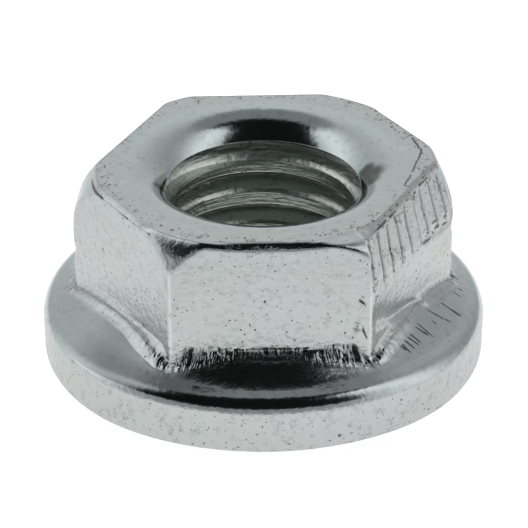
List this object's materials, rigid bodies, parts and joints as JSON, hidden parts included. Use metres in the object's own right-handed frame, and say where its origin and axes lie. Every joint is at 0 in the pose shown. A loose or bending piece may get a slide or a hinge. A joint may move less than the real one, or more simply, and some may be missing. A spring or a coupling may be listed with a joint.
{
  "type": "serrated flange nut",
  "caption": "Hexagon nut with a wide round flange forged on, ratchet teeth under the flange and a funnel-shaped mouth to its threaded bore.",
  "frame": {"origin": "on the thread's axis, in the plane of the tooth crests that bear on the joint", "axes": "+Z along the thread's axis from the bearing face to the top of the hexagon; two flats of the hexagon face -Y and +Y"},
  "size_m": [0.019, 0.019, 0.0084],
  "materials": {
    "zinc_plated_steel": "bright electroplated zinc over cold-forged steel, lightly pitted and scuffed"
  },
  "bodies": {
    "root": {"flange_nut": "zinc_plated_steel"}
  },
  "joints": []
}
